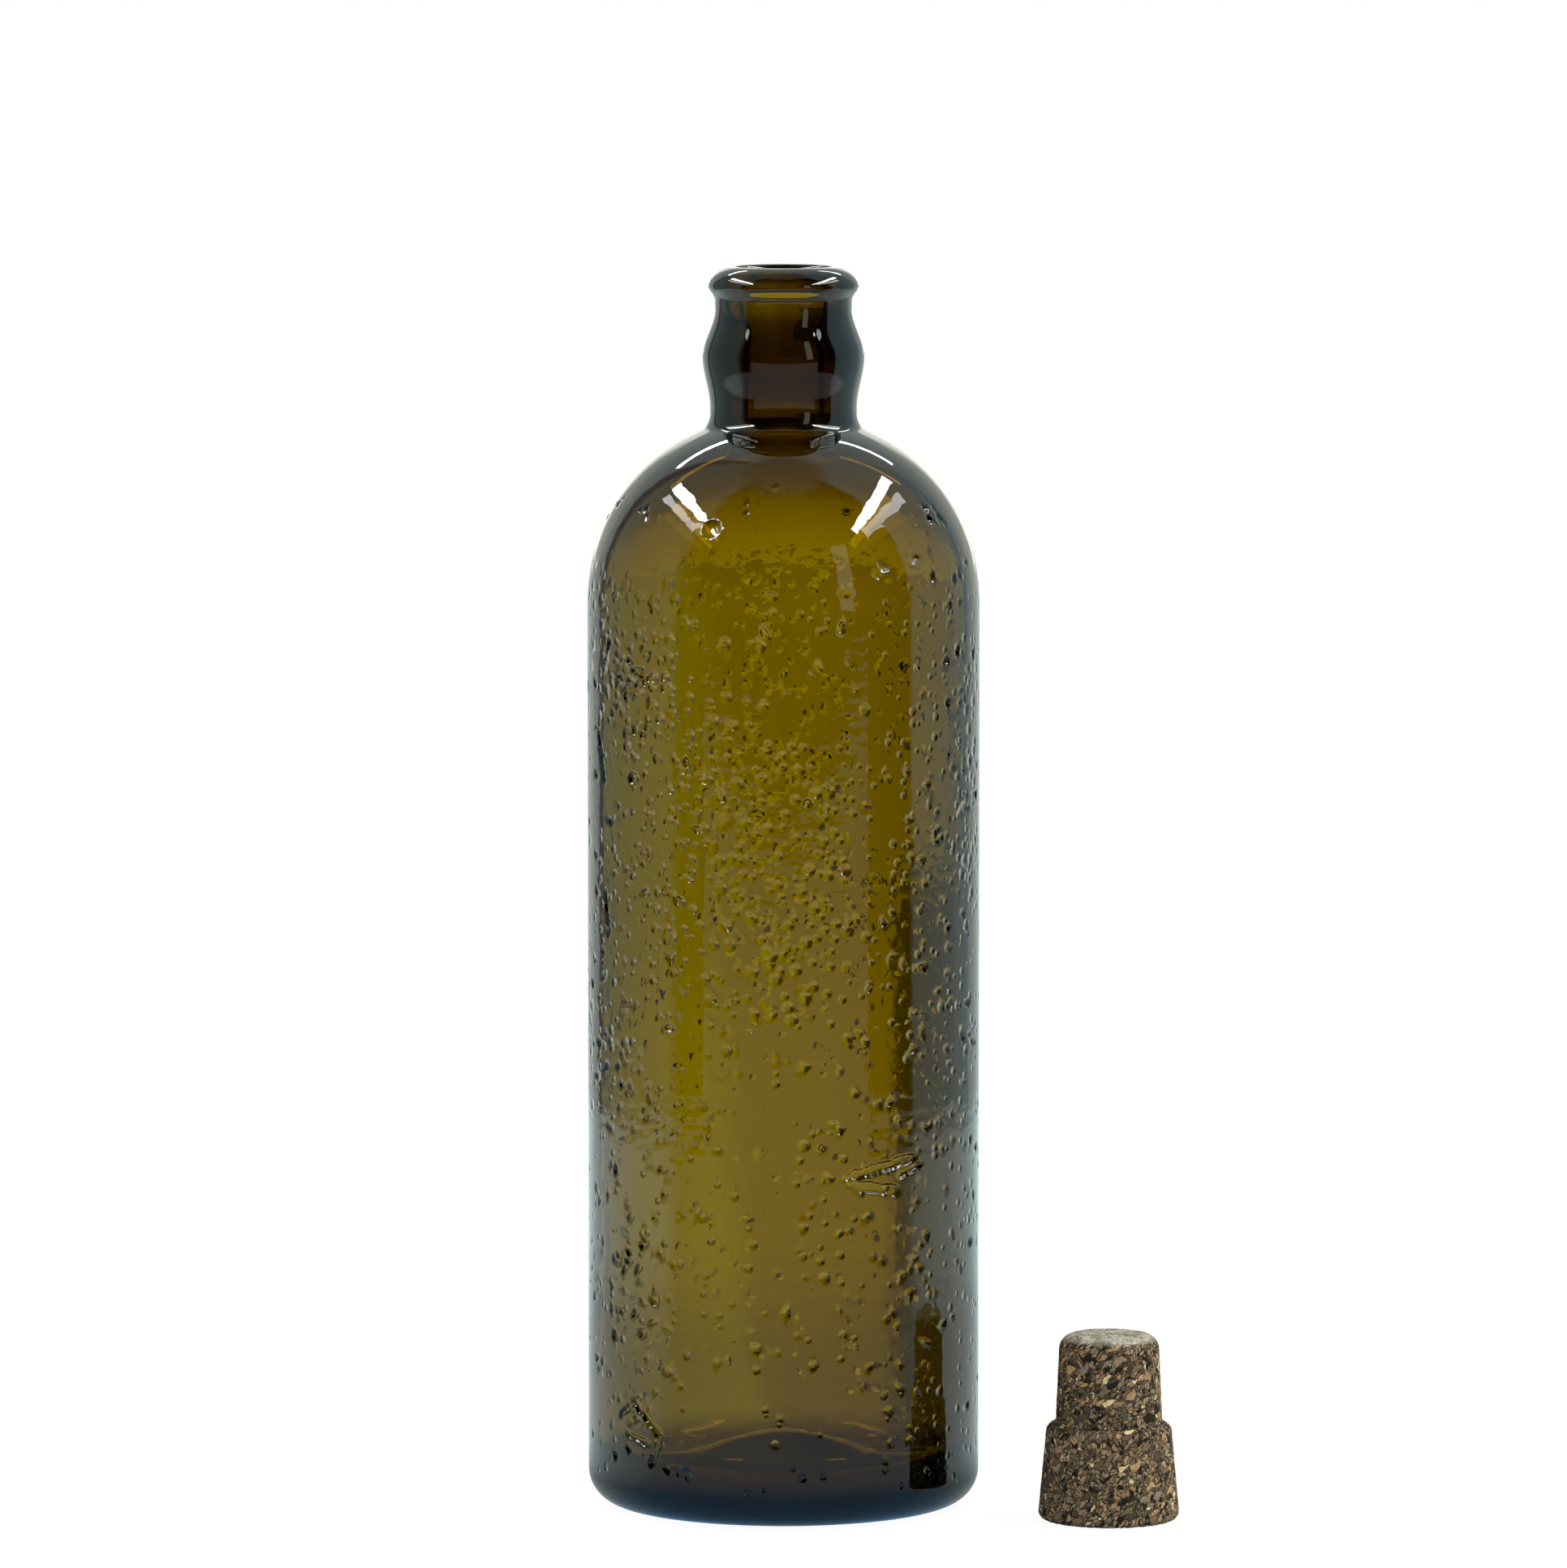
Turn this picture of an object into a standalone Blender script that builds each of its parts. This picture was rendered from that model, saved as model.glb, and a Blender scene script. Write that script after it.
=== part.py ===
"""A round glass bottle with a domed shoulder and a swollen neck, and its stepped cork stopper.

The bottle is empty and open. The stopper stands beside it on its wide end.
All sizes are in metres, +Z is up, and everything stands on the plane Z = 0.
"""

from math import acos, cos, hypot, pi, radians, sin

import bmesh
import bpy

# The bottle's body
BODY_RADIUS = 0.0380
WALL = 0.0029
SHOULDER_WALL = 0.0044  # where the dome's top would be
HEEL_RADIUS = 0.0068
SHOULDER_HEIGHT = 0.1748
SHOULDER_RISE = 0.0375
SHOULDER_POWER = 2.12  # 2 would be a plain ellipse

# The bottle's neck, from its foot up to the rim
NECK_RADIUS = 0.0142
NECK_FOOT_WIDTH = 0.0020
NECK_FOOT_TOP = 0.2135
BULGE_RADIUS = 0.01567
BULGE_HEIGHT = 0.2235
WAIST_RADIUS = 0.01325
WAIST_BOTTOM = 0.2330
WAIST_TOP = 0.2342
LIP_RADIUS = 0.0146
LIP_HEIGHT = 0.2372
LIP_POWER = 1.6
BOTTLE_HEIGHT = 0.2408

# The way through the neck
BORE_RADIUS = 0.0085
MOUTH_RADIUS = 0.00925
MOUTH_DEPTH = 0.0200
RIM_INNER_ROUND = 0.0010
RIM_FLAT = 0.0004
BORE_FOOT_WIDTH = 0.0045
BORE_FOOT_TOP = 0.2110

# The bottom of the bottle, inside and underneath
FLOOR_HEIGHT = 0.0074
FLOOR_CROWN = 0.0066
FLOOR_FILLET = 0.0070
BEARING_INNER_RADIUS = 0.0265
PUSH_UP_RADIUS = 0.0180
PUSH_UP_HEIGHT = 0.0030
PUSH_UP_CROWN = 0.0034
PUSH_UP_EDGE = 0.0006

# The stopper: a plain shank above a wider, slightly tapered head
CORK_SHANK_TOP_RADIUS = 0.0097
CORK_SHANK_BASE_RADIUS = 0.0103
CORK_STEP_RADIUS = 0.0122
CORK_HEAD_RADIUS = 0.0136
CORK_STEP_HEIGHT = 0.0189
CORK_HEIGHT = 0.0361
CORK_TIP_ROUND = 0.0031
CORK_STEP_ROUND = 0.0019
CORK_STEP_FILLET = 0.0006
CORK_BASE_ROUND = 0.0016

# Where the stopper's axis stands, measured from the bottle's axis
CORK_OFFSET_X = 0.0628
CORK_OFFSET_Y = -0.0224

# How finely the round shapes are divided
BOTTLE_SIDES = 48
CORK_SIDES = 40
SHOULDER_STEPS = 11
FOOT_STEPS = 4
BULGE_STEPS = 6
RIM_STEPS = 6
LIP_STEPS = 4
HEEL_STEPS = 6
MOUND_STEPS = 6
CORK_ROUND_STEPS = 4
CORK_NOOK_STEPS = 2
MERGE = 0.00001

# The origin is below the middle of the box that holds both pieces
PAIR_LEFT = -BODY_RADIUS
PAIR_RIGHT = CORK_OFFSET_X + CORK_HEAD_RADIUS
BOTTLE_X = -(PAIR_LEFT + PAIR_RIGHT) / 2
CORK_X = BOTTLE_X + CORK_OFFSET_X

# Colours as the pieces look on a white ground
GLASS_COLOUR = (0.145, 0.093, 0.006, 1.0)
CORK_COLOUR = (0.220, 0.118, 0.060, 1.0)


def arc(centre, radius, start, end, steps):
    """Points on a round stretch of an outline, between two angles in degrees."""
    points = []
    for index in range(steps + 1):
        angle = radians(start + (end - start) * index / steps)
        points.append((centre[0] + radius * cos(angle), centre[1] + radius * sin(angle)))
    return points


def swell(start, end, steps):
    """Points from just after one place to another, upright at both ends like a wave's side."""
    points = []
    for index in range(1, steps + 1):
        share = index / steps
        blend = (1 - cos(pi * share)) / 2
        points.append((start[0] + (end[0] - start[0]) * blend,
                       start[1] + (end[1] - start[1]) * share))
    return points


def mound(edge, height, rise):
    """Points on a low mound, from its top on the axis out to its edge, level at both."""
    points = []
    for index in range(MOUND_STEPS + 1):
        share = index / MOUND_STEPS
        points.append((edge * share, height + rise * (1 + cos(pi * share)) / 2))
    return points


def oval(centre, width, rise, power, turn):
    """A point on a quarter of a rounded oval, from its side at turn 0 up to its top at pi / 2."""
    return (centre[0] + width * cos(turn) ** (2 / power),
            centre[1] + rise * sin(turn) ** (2 / power))


def domed_shoulder(radius, rise, tube_radius, foot_width, foot_top):
    """A shoulder and the round foot of the upright tube on it, from the foot's top down.

    The foot is a bend that leaves the tube upright and meets the shoulder along its slope.
    """
    centre = (0.0, SHOULDER_HEIGHT)
    foot_share = (tube_radius + foot_width) / radius
    lean = acos(foot_share ** (SHOULDER_POWER / 2))
    low = oval(centre, radius, rise, SHOULDER_POWER, lean)
    height_share = (low[1] - SHOULDER_HEIGHT) / rise
    slope = rise / radius * (foot_share / height_share) ** (SHOULDER_POWER - 1)
    corner = (tube_radius, low[1] + slope * foot_width)
    top = (tube_radius, foot_top)

    points = []
    for index in range(FOOT_STEPS + 1):
        share = index / FOOT_STEPS
        weights = ((1 - share) ** 2, 2 * share * (1 - share), share ** 2)
        points.append(tuple(sum(weight * place[axis] for weight, place
                                in zip(weights, (top, corner, low))) for axis in (0, 1)))
    for index in range(1, SHOULDER_STEPS + 1):
        turn = lean * (1 - index / SHOULDER_STEPS)
        points.append(oval(centre, radius, rise, SHOULDER_POWER, turn))
    return points


def outer_wall():
    """The outside of the bottle, from the rim down to the bearing ring."""
    lip_centre = (MOUTH_RADIUS + RIM_INNER_ROUND + RIM_FLAT, LIP_HEIGHT)
    lip_width = LIP_RADIUS - lip_centre[0]
    lip_rise = BOTTLE_HEIGHT - LIP_HEIGHT
    points = []
    for index in range(RIM_STEPS + 1):
        turn = pi / 2 * (1 - index / RIM_STEPS)
        points.append(oval(lip_centre, lip_width, lip_rise, LIP_POWER, turn))

    waist_top = (WAIST_RADIUS, WAIST_TOP)
    waist_bottom = (WAIST_RADIUS, WAIST_BOTTOM)
    bulge = (BULGE_RADIUS, BULGE_HEIGHT)
    neck_bottom = (NECK_RADIUS, NECK_FOOT_TOP)
    heel = (BODY_RADIUS - HEEL_RADIUS, HEEL_RADIUS)
    points += swell((LIP_RADIUS, LIP_HEIGHT), waist_top, LIP_STEPS)
    points += [waist_bottom]
    points += swell(waist_bottom, bulge, BULGE_STEPS)
    points += swell(bulge, neck_bottom, BULGE_STEPS)
    points += domed_shoulder(
        BODY_RADIUS, SHOULDER_RISE, NECK_RADIUS, NECK_FOOT_WIDTH, NECK_FOOT_TOP)
    points += arc(heel, HEEL_RADIUS, 0, -90, HEEL_STEPS)
    return points


def underside():
    """The bearing ring's inner edge and the push-up, out to in."""
    return [
        (BEARING_INNER_RADIUS, 0.0),
        (PUSH_UP_RADIUS + PUSH_UP_EDGE, PUSH_UP_HEIGHT - PUSH_UP_EDGE),
        *reversed(mound(PUSH_UP_RADIUS, PUSH_UP_HEIGHT, PUSH_UP_CROWN)),
    ]


def inner_wall():
    """The inside of the bottle, from the middle of its floor up to the rim."""
    inner_radius = BODY_RADIUS - WALL
    corner = (inner_radius - FLOOR_FILLET, FLOOR_HEIGHT + FLOOR_FILLET)
    rim = (MOUTH_RADIUS + RIM_INNER_ROUND, BOTTLE_HEIGHT - RIM_INNER_ROUND)
    shoulder = domed_shoulder(
        inner_radius, SHOULDER_RISE - SHOULDER_WALL, BORE_RADIUS, BORE_FOOT_WIDTH, BORE_FOOT_TOP)

    points = mound(corner[0], FLOOR_HEIGHT, FLOOR_CROWN)
    points += arc(corner, FLOOR_FILLET, -90, 0, HEEL_STEPS)
    points += reversed(shoulder)
    points += [(BORE_RADIUS, BOTTLE_HEIGHT - MOUTH_DEPTH)]
    points += arc(rim, RIM_INNER_ROUND, 180, 90, LIP_STEPS)
    return points


def cork_side():
    """The stopper's outline, from the middle of its small end down to the middle of its base."""
    tip = (CORK_SHANK_TOP_RADIUS - CORK_TIP_ROUND, CORK_HEIGHT - CORK_TIP_ROUND)
    step = (CORK_STEP_RADIUS - CORK_STEP_ROUND, CORK_STEP_HEIGHT - CORK_STEP_ROUND)
    base = (CORK_HEAD_RADIUS - CORK_BASE_ROUND, CORK_BASE_ROUND)
    nook = (CORK_SHANK_BASE_RADIUS + CORK_STEP_FILLET, CORK_STEP_HEIGHT + CORK_STEP_FILLET)
    points = [(0.0, CORK_HEIGHT)]
    points += arc(tip, CORK_TIP_ROUND, 90, 0, CORK_ROUND_STEPS)
    points += arc(nook, CORK_STEP_FILLET, 180, 270, CORK_NOOK_STEPS)
    points += arc(step, CORK_STEP_ROUND, 90, 0, CORK_ROUND_STEPS)
    points += arc(base, CORK_BASE_ROUND, 0, -90, CORK_ROUND_STEPS)
    points += [(0.0, 0.0)]
    return points


def clear_scene():
    """Take out whatever the file starts with."""
    for thing in list(bpy.data.objects):
        bpy.data.objects.remove(thing, do_unlink=True)


def make_collection(name):
    """A named collection, linked to the scene."""
    collection = bpy.data.collections.new(name)
    bpy.context.scene.collection.children.link(collection)
    return collection


def make_material(name, colour, roughness, transmission, ior):
    """A plain surface finish."""
    material = bpy.data.materials.new(name)
    material.use_nodes = True
    shader = material.node_tree.nodes["Principled BSDF"]
    shader.inputs["Base Color"].default_value = colour
    shader.inputs["Roughness"].default_value = roughness
    shader.inputs["Metallic"].default_value = 0.0
    shader.inputs["Transmission Weight"].default_value = transmission
    shader.inputs["IOR"].default_value = ior
    return material


def drop_repeats(points):
    """The same outline without points that fall on the one before."""
    kept = [points[0]]
    for point in points[1:]:
        if hypot(point[0] - kept[-1][0], point[1] - kept[-1][1]) > MERGE * 2:
            kept.append(point)
    return kept


def turned(name, outline, sides, place, material, collection):
    """A solid of revolution: an outline in the XZ plane, swept once round by a Screw modifier."""
    points = drop_repeats(outline)
    mesh = bpy.data.meshes.new(name)
    shape = bmesh.new()
    corners = [shape.verts.new((radius, 0.0, height)) for radius, height in points]
    for first, second in zip(corners, corners[1:]):
        shape.edges.new((first, second))
    shape.to_mesh(mesh)
    shape.free()
    mesh.materials.append(material)

    thing = bpy.data.objects.new(name, mesh)
    thing.location = place
    collection.objects.link(thing)
    screw = thing.modifiers.new("Turn", "SCREW")
    screw.axis = "Z"
    screw.steps = sides
    screw.render_steps = sides
    screw.use_merge_vertices = True
    screw.merge_threshold = MERGE
    screw.use_smooth_shade = True
    return thing


def main():
    """Make both pieces."""
    clear_scene()
    collection = make_collection("Corked bottle")
    glass = make_material("Olive glass", GLASS_COLOUR, 0.03, 1.0, 1.52)
    cork = make_material("Pressed cork", CORK_COLOUR, 0.85, 0.0, 1.45)
    bottle_outline = inner_wall() + outer_wall() + underside()
    turned("bottle", bottle_outline, BOTTLE_SIDES, (BOTTLE_X, 0.0, 0.0), glass, collection)
    turned("cork", cork_side(), CORK_SIDES, (CORK_X, CORK_OFFSET_Y, 0.0), cork, collection)


main()
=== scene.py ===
# %% [markdown]
# # A pitted glass bottle and its pressed cork stopper
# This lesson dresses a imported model: an empty olive-amber bottle, and the stopper that stands
# beside it on its wide end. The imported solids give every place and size, so they are loaded first
# and never moved. Two new pieces then take their place: a bottle with its pits and ripples, and a
# stopper made of cork granules.

# %% Load the frame
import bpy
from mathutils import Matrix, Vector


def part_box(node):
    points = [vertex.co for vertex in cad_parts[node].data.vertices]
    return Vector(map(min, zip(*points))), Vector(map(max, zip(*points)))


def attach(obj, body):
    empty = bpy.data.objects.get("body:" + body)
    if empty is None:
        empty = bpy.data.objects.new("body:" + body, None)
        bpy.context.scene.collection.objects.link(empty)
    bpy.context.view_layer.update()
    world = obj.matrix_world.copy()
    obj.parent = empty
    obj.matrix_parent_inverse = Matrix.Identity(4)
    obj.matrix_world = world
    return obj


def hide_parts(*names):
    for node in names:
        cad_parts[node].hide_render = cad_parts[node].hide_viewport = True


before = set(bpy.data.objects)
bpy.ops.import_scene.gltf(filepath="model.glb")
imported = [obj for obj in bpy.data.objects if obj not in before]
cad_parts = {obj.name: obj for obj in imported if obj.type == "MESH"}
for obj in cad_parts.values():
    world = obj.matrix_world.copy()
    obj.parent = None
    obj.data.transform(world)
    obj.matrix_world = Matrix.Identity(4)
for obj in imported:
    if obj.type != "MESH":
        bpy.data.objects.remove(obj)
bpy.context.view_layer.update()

# %% Where the two pieces stand
import random
from math import acos, cos, hypot, pi, radians, sin

import bpy
import numpy as np
from mathutils import Matrix, Vector

MM = 0.001
bottle_low, bottle_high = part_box("bottle")
cork_low, cork_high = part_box("cork")
AXIS_X = (bottle_low[0] + bottle_high[0]) / 2
CORK_X = (cork_low[0] + cork_high[0]) / 2
CORK_Y = (cork_low[1] + cork_high[1]) / 2
print("bottle axis at x", round(AXIS_X, 4), "stopper axis at", round(CORK_X, 4), round(CORK_Y, 4))

# %% [markdown]
# ## The camera
# The photo was taken from about two metres with a long lens, looking slightly down: the ellipses
# of the mouth and of the base differ by less than seven degrees of tilt. A longer lens from further
# away would flatten the base's curve, and a shorter one would show too much of the mouth.

# %% Camera
CAMERA_DISTANCE = 2.0458
CAMERA_HEIGHT = 0.3303
CAMERA_TILT = 5.304
LENS = 243.27
SENSOR = 36.0

camera_data = bpy.data.cameras.new("Camera")
camera_data.lens = LENS
camera_data.sensor_width = SENSOR
camera_data.sensor_fit = "HORIZONTAL"
camera_data.clip_end = 50.0
camera = bpy.data.objects.new("Camera", camera_data)
camera.location = (AXIS_X, -CAMERA_DISTANCE, CAMERA_HEIGHT)
camera.rotation_euler = (radians(90 - CAMERA_TILT), 0.0, 0.0)
bpy.context.scene.collection.objects.link(camera)
bpy.context.scene.camera = camera
print("camera looks down", CAMERA_TILT, "degrees through a", LENS, "mm lens")

# %% [markdown]
# ## Shader maths
# Patterns are easier to read as sums than as a web of nodes. A small class wraps an output socket,
# so that `1 - mask` or `noise * 0.3` adds the Math node for it, and one method adds any other node.
# The same class works in a geometry tree, where it lets relief follow a colour pattern.

# %% The socket class
class Out:
    """An output socket of a node tree, or the tree alone, that takes part in Python sums."""

    def __init__(self, tree, socket=None):
        self.tree = tree
        self.socket = socket

    def node(self, kind, settings=None, inputs=None, output=0):
        """Add a node: its settings first, then the values or links of its sockets."""
        made = self.tree.nodes.new(kind)
        for name, value in (settings or {}).items():
            if name == "stops":
                fill_ramp(made.color_ramp, value)
            else:
                setattr(made, name, value)
        for name, value in (inputs or {}).items():
            if isinstance(value, Out):
                self.tree.links.new(value.socket, made.inputs[name])
            else:
                made.inputs[name].default_value = value
        return Out(self.tree, made.outputs[output])

    def __add__(self, other):
        return maths("ADD", self, other)

    __radd__ = __add__

    def __sub__(self, other):
        return maths("SUBTRACT", self, other)

    def __rsub__(self, other):
        return maths("SUBTRACT", other, self)

    def __mul__(self, other):
        return maths("MULTIPLY", self, other)

    __rmul__ = __mul__

    def __truediv__(self, other):
        return maths("DIVIDE", self, other)

    def __pow__(self, other):
        return maths("POWER", self, other)

    def __gt__(self, other):
        return maths("GREATER_THAN", self, other)

    def __lt__(self, other):
        return maths("LESS_THAN", self, other)

    def smooth(self, low, high):
        """0 at low, 1 at high, and a soft step between them."""
        inputs = {"Value": self, "From Min": low, "From Max": high}
        return self.node("ShaderNodeMapRange", {"interpolation_type": "SMOOTHSTEP"}, inputs)

    def pick(self, first, second):
        """A mix of two colours, with this socket as its factor."""
        return self.node("ShaderNodeMix", {"data_type": "RGBA"}, {0: self, 6: first, 7: second}, 2)

    def vector(self, operation, other):
        """A Vector Math node on this vector and another."""
        return self.node("ShaderNodeVectorMath", {"operation": operation}, {0: self, 1: other})

    def axes(self):
        """The three numbers of a vector."""
        first = self.node("ShaderNodeSeparateXYZ", {}, {0: self})
        return [Out(self.tree, socket) for socket in first.socket.node.outputs]


def maths(operation, *operands):
    """A Math node on sockets and plain numbers."""
    tree = next(operand for operand in operands if isinstance(operand, Out))
    return tree.node("ShaderNodeMath", {"operation": operation}, dict(enumerate(operands)))


def fill_ramp(ramp, stops):
    """Give a colour ramp its stops: pairs of a place and a colour."""
    while len(ramp.elements) < len(stops):
        ramp.elements.new(1.0)
    for element, (place, tint) in zip(ramp.elements, stops):
        element.position = place
        element.color = tint


def screen(red, green, blue):
    """A colour as a screen shows it, 0 to 255, made linear."""
    linear = []
    for value in (red, green, blue):
        share = value / 255
        linear.append(share / 12.92 if share <= 0.04045 else ((share + 0.055) / 1.055) ** 2.4)
    return (*linear, 1.0)


def grey(value):
    """An even linear grey."""
    return (value, value, value, 1.0)


def new_tree(owner, output_kind):
    """An empty node tree of a material or a world, and its output node."""
    owner.use_nodes = True
    owner.node_tree.nodes.clear()
    return Out(owner.node_tree), owner.node_tree.nodes.new(output_kind)


# %% [markdown]
# ## The light tent
# Glass shows what is round it, so the room matters more than the lamps. The photo's reflections
# tell of white walls at the sides and behind, a dark camera side, a dark panel on each side between
# them, and a white table. Cycles lets the world answer each kind of ray. The eye meets plain white.
# Refracted rays meet a bright backdrop, which is dark above its top edge and in a gap at each side.
# Mirror-like rays meet the map of the walls. The dark gaps lie only behind the bottle, so the glass
# stays bright in the views from the other sides too.

# %% World
LEFT_WALL_AZIMUTH = 69
LEFT_WALL_SOFT = (8, 4)
LEFT_WALL_END = 130.5
LEFT_END_LIGHT = 0.25
RIGHT_WALL_AZIMUTH = 80
RIGHT_WALL_SOFT = (2, 2)
BACK_AZIMUTH = 137.5
BACK_SOFT = (1.5, 1.5)
LEFT_WALL = (0.36, 0.50, 0.48, 1.0)
RIGHT_WALL = (0.46, 0.66, 0.70, 1.0)
BACK_WALL = (0.72, 0.82, 0.79, 1.0)
BEHIND = (1.90, 1.95, 1.75, 1.0)
BEHIND_AZIMUTH = 163
BEHIND_SOFT = (4, 4)
BEHIND_TOP = 0.40
CEILING = (0.26, 0.28, 0.28, 1.0)
CEILING_HEIGHT = 0.965
CEILING_SOFT = (0.03, 0.02)
BEIGE_SOFT = (0.5, 0.5)
DARK_SIDE = 0.012
ROOM_FILL = 0.75
GAP_START = 139
GAP_END = 158
GAP_SOFT = 2
GAP_LIGHT = 0.06
BACKDROP_TOP = 0.30
BACKDROP_SOFT = 0.05
OVER_BACKDROP = 0.10
BACKDROP = (1.50, 1.58, 1.50, 1.0)
BACKDROP_LOW = 0.06
BACKDROP_HIGH = 0.13
BEIGE_START = 33
BEIGE_END = 42.5
BEIGE = (1.20, 1.06, 0.80, 1.0)
BEIGE_LOW = -0.09
BEIGE_HIGH = 0.57


def beyond(azimuth, edge, before=1.0, after=1.0):
    """1 past an edge given in degrees, with a soft step from before it to after it."""
    return azimuth.smooth(radians(edge - before), radians(edge + after))


def side_walls(across, azimuth, front):
    """What mirror-like rays meet round the bottle: a dark front, grey side walls, a white back."""
    left = beyond(azimuth, LEFT_WALL_AZIMUTH, *LEFT_WALL_SOFT)
    right = beyond(azimuth, RIGHT_WALL_AZIMUTH, *RIGHT_WALL_SOFT)
    left_end = beyond(azimuth, LEFT_WALL_END)
    back = beyond(azimuth, BACK_AZIMUTH, *BACK_SOFT)
    on_right = across > 0.0
    left_side = left_end.pick(left.pick(front, LEFT_WALL), grey(LEFT_END_LIGHT))
    sides = on_right.pick(left_side, right.pick(front, RIGHT_WALL))
    return back.pick(sides, BACK_WALL)


def side_gap(azimuth):
    """1 in the dark gap beside the backdrop, as refracted rays meet it, and 0 elsewhere."""
    start = beyond(azimuth, GAP_START, 0, GAP_SOFT)
    return start * (1 - beyond(azimuth, GAP_END, GAP_SOFT, 0))


def make_room():
    """White for the eye, a map of the room for mirror-like rays, a backdrop for refracted ones."""
    world = bpy.data.worlds.new("Light tent")
    room, output = new_tree(world, "ShaderNodeOutputWorld")
    across, deep, up = room.node("ShaderNodeTexCoord", output="Generated").axes()
    azimuth = maths("ABSOLUTE", maths("ARCTAN2", across, 0 - deep))
    under, above = CEILING_SOFT
    high = up.smooth(CEILING_HEIGHT - under, CEILING_HEIGHT + above)
    strip = beyond(azimuth, BEIGE_START, *BEIGE_SOFT)
    strip = strip * (1 - beyond(azimuth, BEIGE_END, *BEIGE_SOFT))
    strip = strip * (across > 0.0) * (up > BEIGE_LOW) * (up < BEIGE_HIGH)
    front = strip.pick(grey(DARK_SIDE), BEIGE)
    behind = beyond(azimuth, BEHIND_AZIMUTH, *BEHIND_SOFT) * (up < BEHIND_TOP)
    walls = behind.pick(side_walls(across, azimuth, front), BEHIND)
    mirrored = high.pick(walls, CEILING)
    gap = side_gap(azimuth)
    over = up.smooth(BACKDROP_TOP - BACKDROP_SOFT, BACKDROP_TOP + BACKDROP_SOFT)
    refracted = (1 - gap * (1 - GAP_LIGHT)) * (1 - over * (1 - OVER_BACKDROP))
    scattered = room.node("ShaderNodeLightPath", output="Is Diffuse Ray")
    glossy = room.node("ShaderNodeLightPath", output="Is Glossy Ray")
    through = room.node("ShaderNodeLightPath", output="Is Transmission Ray")
    eye = room.node("ShaderNodeLightPath", output="Is Camera Ray")
    lit = scattered.pick(grey(1.0), grey(ROOM_FILL))
    backdrop = up.smooth(BACKDROP_LOW, BACKDROP_HIGH).pick(BACKDROP, grey(1.0))
    bent = (through * (1 - eye)).pick(lit, refracted.pick(grey(0.0), backdrop))
    seen = (glossy * (1 - through)).pick(bent, mirrored)
    light = room.node("ShaderNodeBackground", {}, {"Color": seen})
    room.tree.links.new(light.socket, output.inputs["Surface"])
    bpy.context.scene.world = world


make_room()
print("room: walls beyond", LEFT_WALL_AZIMUTH, "and", RIGHT_WALL_AZIMUTH, "degrees from the camera")

# %% [markdown]
# ## Lamps
# The streaks on the shoulder and the chevrons on the neck's ring are the images of two long strip
# lights, one on each side and above the bottle. A dimmer lamp below each strip gives its streak a
# soft lower edge, and two smaller lamps behind and above make the upper pair of streaks. Area lamps
# are right for all, as a reflection shows a lamp's true shape. A fill lights the stopper from the
# right, and is hidden from the glass.

# %% Lamps
LAMPS = {
    "strip, left": ((-0.48, -0.045, 0.705), (0.0, 1.0, 0.0), 0.60, 0.060, 24.0),
    "edge of the left strip": ((-0.48, -0.025, 0.598), (0.0, 1.0, 0.05), 0.48, 0.040, 6.0),
    "strip, right": ((0.48, -0.035, 0.722), (0.0, 0.67, 0.08), 0.70, 0.060, 24.0),
    "edge of the right strip": ((0.48, -0.035, 0.605), (0.0, 1.0, 0.0), 0.50, 0.060, 5.0),
    "back lamp, left": ((-0.44, 0.735, 1.0), (1.0, 0.0, 0.0), 0.36, 0.055, 18.0),
    "back lamp, right": ((0.43, 0.80, 1.0), (0.30, 0.16, 0.0), 0.36, 0.045, 18.0),
}
AIM = Vector((AXIS_X, 0.0, 0.16))
FILL_PLACE = (0.85, -0.06, 0.22)
FILL_SIZE = 0.40
FILL_RADIANCE = 8.0


def add_lamp(name, place, along, length, width, radiance):
    """An area lamp that faces the bottle, hidden from the eye but not from reflections."""
    data = bpy.data.lights.new(name, "AREA")
    data.shape = "RECTANGLE"
    data.size = length
    data.size_y = width
    data.energy = radiance * pi * length * width
    lamp = bpy.data.objects.new(name, data)
    beam = (AIM - Vector(place)).normalized()
    side = beam.cross(Vector(along)).normalized()
    axes = Matrix((side.cross(beam), -side, -beam)).transposed()
    lamp.matrix_world = Matrix.Translation(place) @ axes.to_4x4()
    lamp.visible_camera = False
    bpy.context.scene.collection.objects.link(lamp)
    return lamp


for name, ((lamp_x, lamp_y, lamp_z), along, length, width, radiance) in LAMPS.items():
    add_lamp(name, (AXIS_X + lamp_x, lamp_y, lamp_z), along, length, width, radiance)
fill = add_lamp("fill, right", FILL_PLACE, (0.0, 1.0, 0.0), FILL_SIZE, FILL_SIZE, FILL_RADIANCE)
fill.visible_glossy = False
fill.visible_transmission = False
print(len(LAMPS) + 1, "lamps")
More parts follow.
